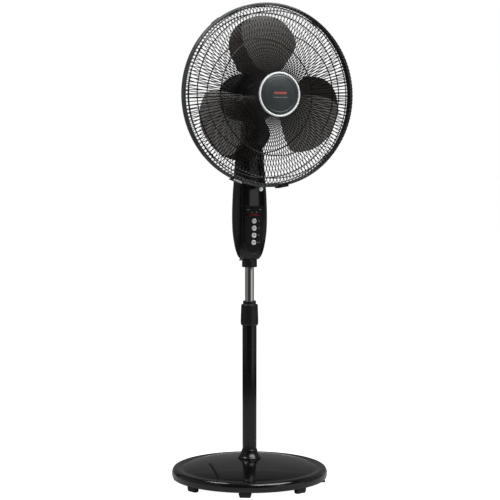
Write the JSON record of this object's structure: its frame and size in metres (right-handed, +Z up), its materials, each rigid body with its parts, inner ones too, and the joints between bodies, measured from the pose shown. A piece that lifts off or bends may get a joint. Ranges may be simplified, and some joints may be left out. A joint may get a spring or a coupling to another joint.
{
  "type": "pedestal fan",
  "caption": "Pedestal fan: wire-guarded translucent blades on a tilting, swinging head, push-button column, height-adjustable pole and weighted round base.",
  "frame": {"origin": "on the floor at the middle of the bounding box's underside, under the pole's axis", "axes": "+Z up along the pole, the fan blows towards -Y, +X to the right seen from the front"},
  "size_m": [0.445, 0.39, 1.1935],
  "materials": {
    "gloss_black": "polished",
    "pole_paint": "gloss",
    "satin_black": "satin",
    "rim_grey": "satin",
    "guard_wire": "gloss powder coat",
    "smoke_blade": "translucent smoke",
    "smoke_window": "tinted window",
    "badge_grey": "satin metallic",
    "badge_silver": "silver plated",
    "chrome_tube": "bright",
    "steel": "plain",
    "ballast": "as cast",
    "motor_aluminium": "die cast",
    "windings": "laminations and varnished copper",
    "bearing_bronze": "sintered bronze",
    "white_nylon": "natural",
    "board": "solder mask",
    "rubber": "moulded"
  },
  "bodies": {
    "base": {"base_shell": "gloss_black", "base_plate": "satin_black", "base_weight": "ballast", "foot_1": "rubber", "foot_2": "rubber", "foot_3": "rubber", "foot_4": "rubber", "foot_5": "rubber", "foot_6": "rubber", "foot_7": "rubber", "foot_8": "rubber", "pole_collar": "gloss_black", "pole_socket": "steel", "pole_bolt": "steel", "outer_pole": "pole_paint", "pole_bush": "white_nylon"},
    "height_nut": {"height_nut": "satin_black"},
    "column": {"inner_tube": "chrome_tube", "tube_plug": "white_nylon", "tube_collar": "satin_black", "column_spine": "satin_black", "housing_rear": "satin_black", "housing_front": "gloss_black", "indicator_window": "smoke_window", "control_board": "board", "housing_screw_lower": "steel", "housing_screw_upper": "steel", "cord_gland": "rubber", "tilt_bolt": "steel", "tilt_nut": "steel"},
    "button_1": {"button_1": "badge_silver"},
    "button_2": {"button_2": "badge_silver"},
    "button_3": {"button_3": "badge_silver"},
    "button_4": {"button_4": "badge_silver"},
    "neck": {"neck": "satin_black"},
    "head": {"swivel_bracket": "steel", "pivot_post": "steel", "motor_front_bell": "motor_aluminium", "motor_rear_bell": "motor_aluminium", "front_bearing": "bearing_bronze", "rear_bearing": "bearing_bronze", "stator": "windings", "swing_motor": "motor_aluminium", "motor_cover": "satin_black", "motor_front_cover": "satin_black", "front_guard": "guard_wire", "rear_guard": "guard_wire", "guard_rim": "rim_grey", "rim_screw": "chrome_tube", "guard_nut": "satin_black", "badge_disc": "badge_grey", "badge_ring": "badge_silver"},
    "guard_clip_left": {"guard_clip_left": "rim_grey"},
    "guard_clip_right": {"guard_clip_right": "rim_grey"},
    "rotor": {"motor_shaft": "steel", "rotor_core": "steel", "fan_blade": "smoke_blade", "blade_nut": "satin_black"},
    "swing_crank": {"swing_crank": "white_nylon"},
    "swing_link": {"swing_link": "steel"}
  },
  "joints": [
    {"name": "nut_turn", "type": "hinge", "parent": "base", "child": "height_nut", "pos_m": [0, 0, 0.43], "axis": [0, 0, 1], "range_deg": [0, 180]},
    {"name": "height_slide", "type": "slide", "parent": "base", "child": "column", "axis": [0, 0, 1], "range_m": [-0.085, 0.15]},
    {"name": "button_1_press", "type": "slide", "parent": "column", "child": "button_1", "axis": [0, 1, 0], "range_m": [0, 0.0015], "stiffness_N_per_m": 400, "springref_m": -0.001},
    {"name": "button_2_press", "type": "slide", "parent": "column", "child": "button_2", "axis": [0, 1, 0], "range_m": [0, 0.0015], "stiffness_N_per_m": 400, "springref_m": -0.001},
    {"name": "button_3_press", "type": "slide", "parent": "column", "child": "button_3", "axis": [0, 1, 0], "range_m": [0, 0.0015], "stiffness_N_per_m": 400, "springref_m": -0.001},
    {"name": "button_4_press", "type": "slide", "parent": "column", "child": "button_4", "axis": [0, 1, 0], "range_m": [0, 0.0015], "stiffness_N_per_m": 400, "springref_m": -0.001},
    {"name": "tilt", "type": "hinge", "parent": "column", "child": "neck", "pos_m": [0, 0, 0.872], "axis": [-1, 0, 0], "range_deg": [-10, 25]},
    {"name": "head_swing", "type": "hinge", "parent": "neck", "child": "head", "pos_m": [0, 0, 0.9165], "axis": [0, 0, 1], "range_deg": [-38, 38]},
    {"name": "crank_turn", "type": "hinge", "parent": "head", "child": "swing_crank", "pos_m": [-0.006, 0.047, 0.9165], "axis": [0, 0, 1], "range_deg": [-90, 90]},
    {"name": "link_turn", "type": "hinge", "parent": "neck", "child": "swing_link", "pos_m": [-0.016, 0, 0.9165], "axis": [0, 0, 1], "range_deg": [-32, 32]},
    {"name": "fan_spin", "type": "hinge", "parent": "head", "child": "rotor", "pos_m": [0, -0.117, 0.971], "axis": [0, 1, 0], "continuous": true},
    {"name": "clip_left_open", "type": "hinge", "parent": "head", "child": "guard_clip_left", "pos_m": [-0.08591, -0.1085, 0.76359], "axis": [0.9239, 0, -0.3827], "range_deg": [0, 80]},
    {"name": "clip_right_open", "type": "hinge", "parent": "head", "child": "guard_clip_right", "pos_m": [0.03512, -0.1085, 0.74926], "axis": [0.9877, 0, 0.1564], "range_deg": [0, 80]}
  ],
  "couplings": [
    {"joint": "crank_turn", "follows": "head_swing", "ratio": -2.34},
    {"joint": "link_turn", "follows": "head_swing", "ratio": 0.82}
  ]
}
